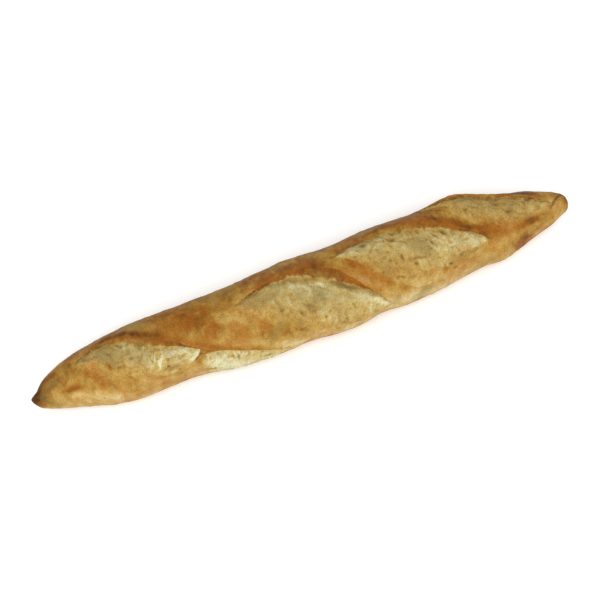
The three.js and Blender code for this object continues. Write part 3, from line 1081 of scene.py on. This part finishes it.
def crust_and_crumb(colours):
    """Baked wheat bread.

    The crust is a thin skin of browned starch. It dried in the oven, so it is smooth with a low satin
    shine, and mottled where it browned unevenly. In the cuts the dough tore late and baked less, so there
    it is matt, pale, and rough with bubbles.
    """
    material = new_material("baked_wheat_crust_and_torn_crumb")
    tree = material.node_tree
    place = add_node(tree, "ShaderNodeTexCoord").outputs["Object"]
    field = {
        name: add_node(tree, "ShaderNodeAttribute", attribute_name=name).outputs["Fac"]
        for name in Surface._fields[1:]
    }
    spots = {
        size_mm: add_node(tree, "ShaderNodeTexNoise", {
            "Vector": place,
            "Scale": 1 / (size_mm * MM),
            "Detail": detail,
            "Roughness": 0.55,
        }).outputs["Fac"]
        for size_mm, detail in ((14, 2), (6, 2), (4.5, 3), (3.2, 3), (1.8, 3), (1.1, 3), (1.0, 2))
    }
    smooth = {"interpolation_type": "SMOOTHSTEP"}
    mixed = {"data_type": "RGBA", "clamp_factor": True}

    # One number tells how far the crust has browned, and one how pale the crumb is.
    browned = mottled(tree, field["toast"], (spots[14], 0.34), (spots[4.5], 0.4), (spots[1.8], 0.1))
    pale = mottled(tree, field["cream"], (spots[4.5], 0.5), (spots[1.8], 0.08))
    scales = (
        (browned, (
            (0.0, colours.blond),
            (0.25, colours.straw),
            (0.48, colours.gold),
            (0.70, colours.amber),
            (0.87, colours.brown),
            (1.0, colours.burnt),
        )),
        (pale, (
            (0.0, colours.crumb_deep),
            (0.3, colours.crumb_gold),
            (0.6, colours.crumb_straw),
            (1.0, colours.crumb_cream),
        )),
        (spots[1.0], ((0.33, colours.speck), (0.58, "#ffffff"))),
    )
    shades = []
    for value, stops in scales:
        node = add_node(tree, "ShaderNodeValToRGB", {0: value})
        elements = node.color_ramp.elements
        while len(elements) < len(stops):
            elements.new(0.5)
        for element, (position, colour) in zip(elements, stops):
            element.position = position
            element.color = linear(colour)
        shades.append(node.outputs["Color"])
    crust, crumb, specks = shades

    # Crust is orange in some patches and olive in others, and crumb is grey where thin skin covers a bubble.
    warmth = mottled(tree, field["warm"], (spots[6], 1.6))
    for near, far, tint in ((0.1, 1.3, colours.orange), (-0.1, -1.3, colours.olive)):
        inputs = {0: warmth, 1: near, 2: far, 3: 0.0, 4: 0.55}
        share = add_node(tree, "ShaderNodeMapRange", inputs, **smooth).outputs[0]
        crust = add_node(tree, "ShaderNodeMix", {0: share, 6: crust, 7: linear(tint)}, **mixed).outputs[2]
    grey = add_node(tree, "ShaderNodeMath", {0: field["grey"], 1: 0.7}, operation="MULTIPLY").outputs[0]
    inputs = {0: grey, 6: crumb, 7: linear(colours.crumb_grey)}
    crumb = add_node(tree, "ShaderNodeMix", inputs, **mixed).outputs[2]

    # Crumb lies over crust with a ragged edge, then painted shade in pits and cracks, then specks of bran
    # over all.
    edge = mottled(tree, field["crumb"], (spots[3.2], 0.7))
    inputs = {0: edge, 1: 0.2, 2: 0.78, 3: 0.0, 4: 1.0}
    torn = add_node(tree, "ShaderNodeMapRange", inputs, **smooth).outputs[0]
    dark = add_node(tree, "ShaderNodeMath", {0: field["pit"], 1: 0.85}, operation="MULTIPLY").outputs[0]
    colour = add_node(tree, "ShaderNodeMix", {0: torn, 6: crust, 7: crumb}, **mixed).outputs[2]
    inputs = {0: dark, 6: colour, 7: linear(colours.hole)}
    colour = add_node(tree, "ShaderNodeMix", inputs, **mixed).outputs[2]
    inputs = {0: 0.65, 6: colour, 7: specks}
    colour = add_node(tree, "ShaderNodeMix", inputs, blend_type="MULTIPLY", **mixed).outputs[2]

    # Crumb is duller than crust, and its wrinkles are deeper.
    inputs = {0: torn, 1: 0.0, 2: 1.0, 3: 0.46, 4: 0.74}
    dull = add_node(tree, "ShaderNodeMapRange", inputs, **smooth).outputs[0]
    inputs = {0: spots[4.5], 1: 0.16, 2: dull}
    rough = add_node(tree, "ShaderNodeMath", inputs, operation="MULTIPLY_ADD").outputs[0]
    grain = add_node(tree, "ShaderNodeMath", {0: spots[1.8], 1: 0.4}, operation="MULTIPLY").outputs[0]
    inputs = {0: spots[1.1], 1: 0.6, 2: grain}
    wrinkles = add_node(tree, "ShaderNodeMath", inputs, operation="MULTIPLY_ADD").outputs[0]
    inputs = {0: torn, 1: 0.0, 2: 1.0, 3: 0.45, 4: 1.0}
    depth = add_node(tree, "ShaderNodeMapRange", inputs, **smooth).outputs[0]
    relief = add_node(tree, "ShaderNodeMath", {0: wrinkles, 1: depth}, operation="MULTIPLY").outputs[0]
    bump = add_node(tree, "ShaderNodeBump", {
        "Strength": 0.9,
        "Distance": 0.9 * MM,
        "Height": relief,
    }).outputs["Normal"]
    shader = add_node(tree, "ShaderNodeBsdfPrincipled", {
        "Base Color": colour,
        "Roughness": rough,
        "Specular IOR Level": 0.08,
        "Normal": bump,
    })
    add_node(tree, "ShaderNodeOutputMaterial", {"Surface": shader.outputs["BSDF"]})
    return material


def opal_acrylic():
    """Matt opal acrylic on a light table: a pale ground whose faint glow thins the loaf's shadow."""
    material = new_material("matt_opal_acrylic_light_table")
    tree = material.node_tree
    shader = add_node(tree, "ShaderNodeBsdfPrincipled", {
        "Base Color": linear("#fdfdfc"),
        "Roughness": 0.9,
        "Specular IOR Level": 0.1,
        "Emission Color": (1.0, 1.0, 1.0, 1.0),
        "Emission Strength": 0.1,
    })
    add_node(tree, "ShaderNodeOutputMaterial", {"Surface": shader.outputs["BSDF"]})
    return material


# ---------- The studio ----------

FLOOR_SIDE = 6.0
FLOOR_DROP = 0.1 * MM  # the floor lies this far under the loaf, so that the two never flicker
SKY_STRENGTH = 0.69
CAMERA_AZIMUTH = -22.94
CAMERA_ELEVATION = 65.0
CAMERA_DISTANCE = 1.1729
CAMERA_LENS = 85.0
CAMERA_TARGET = (-7.0 * MM, 1.5 * MM, 20 * MM)


def direction(azimuth, elevation):
    """From the loaf towards a place seen at an azimuth, which is 0 in front, and an elevation."""
    a, e = math.radians(azimuth), math.radians(elevation)
    return Vector((math.sin(a) * math.cos(e), -math.cos(a) * math.cos(e), math.sin(e)))


def look_at(item, place, target):
    item.location = place
    item.rotation_euler = (Vector(target) - Vector(place)).to_track_quat("-Z", "Y").to_euler()


def add_camera():
    data = bpy.data.cameras.new("camera")
    data.lens = CAMERA_LENS
    camera = bpy.data.objects.new("camera", data)
    bpy.context.collection.objects.link(camera)
    target = Vector(CAMERA_TARGET)
    look_at(camera, target + CAMERA_DISTANCE * direction(CAMERA_AZIMUTH, CAMERA_ELEVATION), target)
    bpy.context.scene.camera = camera


def add_softbox(name, azimuth, elevation, distance, side, power):
    data = bpy.data.lights.new(name, "AREA")
    data.shape = "SQUARE"
    data.size = side
    data.energy = power
    light = bpy.data.objects.new(name, data)
    bpy.context.collection.objects.link(light)
    look_at(light, distance * direction(azimuth, elevation), (0, 0, 0))


def add_floor():
    half = FLOOR_SIDE / 2
    mesh = bpy.data.meshes.new("studio_floor")
    height = CAD_BOX[0][2] - FLOOR_DROP
    corners = [(-half, -half, height), (half, -half, height), (half, half, height), (-half, half, height)]
    mesh.from_pydata(corners, [], [(0, 1, 2, 3)])
    mesh.materials.append(opal_acrylic())
    floor = bpy.data.objects.new("studio_floor", mesh)
    bpy.context.collection.objects.link(floor)


# ---------- Settings, operators and panel ----------


def colour_property(name, shows, default):
    return bpy.props.StringProperty(name=name, description=f"sRGB hex colour of {shows}", default=default)


class BaguetteSizes(bpy.types.PropertyGroup):
    width: bpy.props.FloatProperty(
        name="Width",
        description="Width of the loaf between its bulges",
        default=BOX_SIZE_MM[1] * WIDTH_SHARE * MM,
        subtype="DISTANCE",
        unit="LENGTH",
    )
    height: bpy.props.FloatProperty(
        name="Height",
        description="Height of the loaf without its lifted ears",
        default=BOX_SIZE_MM[2] * HEIGHT_SHARE * MM,
        subtype="DISTANCE",
        unit="LENGTH",
    )


class BaguetteColours(bpy.types.PropertyGroup):
    blond: colour_property("Blond crust", "crust that hardly browned", "#d4bf8a")
    straw: colour_property("Straw crust", "lightly browned crust", "#c09c56")
    gold: colour_property("Golden crust", "most of the crust", "#ab8339")
    amber: colour_property("Amber crust", "well browned crust", "#8d5a1c")
    brown: colour_property("Brown crust", "the ears and blisters", "#704214")
    burnt: colour_property("Burnt crust", "the thinnest edges", "#50300e")
    orange: colour_property("Orange crust", "the warm patches", "#a4621c")
    olive: colour_property("Olive crust", "the cool patches", "#897036")
    crumb_deep: colour_property("Deep crumb", "the darkest crumb", "#a88344")
    crumb_gold: colour_property("Golden crumb", "crumb that baked longest", "#bb9a54")
    crumb_straw: colour_property("Straw crumb", "crumb that baked a little", "#c6af70")
    crumb_cream: colour_property("Cream crumb", "crumb that tore last", "#dfd9ac")
    crumb_grey: colour_property("Grey crumb", "thin skin over bubbles", "#968352")
    speck: colour_property("Specks", "the finest specks, laid over the rest", "#bcbcbc")
    # Painted shade: the dark colour painted into pits, cracks, creases and hollows.
    hole: colour_property("Holes", "the inside of pits and cracks", "#54401c")


class BAGUETTE_OT_loaf(bpy.types.Operator):
    """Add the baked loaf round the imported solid"""

    bl_idname = "baguette.add_loaf"
    bl_label = "Loaf"

    def execute(self, context):
        sizes = context.scene.baguette_sizes
        loaf = build_loaf(LoafSize(sizes.width / MM, sizes.height / MM))
        loaf.data.materials.append(crust_and_crumb(context.scene.baguette_colours))
        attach(loaf, "root")
        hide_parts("loaf")
        return {"FINISHED"}


class BAGUETTE_OT_stage(bpy.types.Operator):
    """Add the floor, the soft lights and the camera"""

    bl_idname = "baguette.add_stage"
    bl_label = "Stage"

    def execute(self, context):
        add_floor()
        add_softbox("key_light", azimuth=-45, elevation=54, distance=3.0, side=3.0, power=61)
        add_softbox("fill_light", azimuth=50, elevation=40, distance=3.0, side=3.0, power=19)
        world = bpy.data.worlds.new("studio")
        world.use_nodes = True
        background = world.node_tree.nodes["Background"]
        background.inputs["Color"].default_value = (1, 1, 1, 1)
        background.inputs["Strength"].default_value = SKY_STRENGTH
        context.scene.world = world
        context.scene.view_settings.view_transform = "Standard"
        add_camera()
        return {"FINISHED"}


class BAGUETTE_PT_panel(bpy.types.Panel):
    """Lists the pieces in the 3D view's sidebar"""

    bl_idname = "BAGUETTE_PT_panel"
    bl_label = "Baguette"
    bl_space_type = "VIEW_3D"
    bl_region_type = "UI"
    bl_category = "Baguette"

    def draw(self, context):
        layout = self.layout
        for group in (context.scene.baguette_sizes, context.scene.baguette_colours):
            for name in group.__annotations__:
                layout.prop(group, name)
        layout.operator(BAGUETTE_OT_loaf.bl_idname)
        layout.operator(BAGUETTE_OT_stage.bl_idname)


CLASSES = (BaguetteSizes, BaguetteColours, BAGUETTE_OT_loaf, BAGUETTE_OT_stage, BAGUETTE_PT_panel)


def register():
    for one in CLASSES:
        bpy.utils.register_class(one)
    bpy.types.Scene.baguette_sizes = bpy.props.PointerProperty(type=BaguetteSizes)
    bpy.types.Scene.baguette_colours = bpy.props.PointerProperty(type=BaguetteColours)


def unregister():
    del bpy.types.Scene.baguette_colours
    del bpy.types.Scene.baguette_sizes
    for one in reversed(CLASSES):
        bpy.utils.unregister_class(one)


def main():
    register()
    bpy.ops.baguette.add_loaf()
    bpy.ops.baguette.add_stage()


if __name__ == "__main__":
    main()
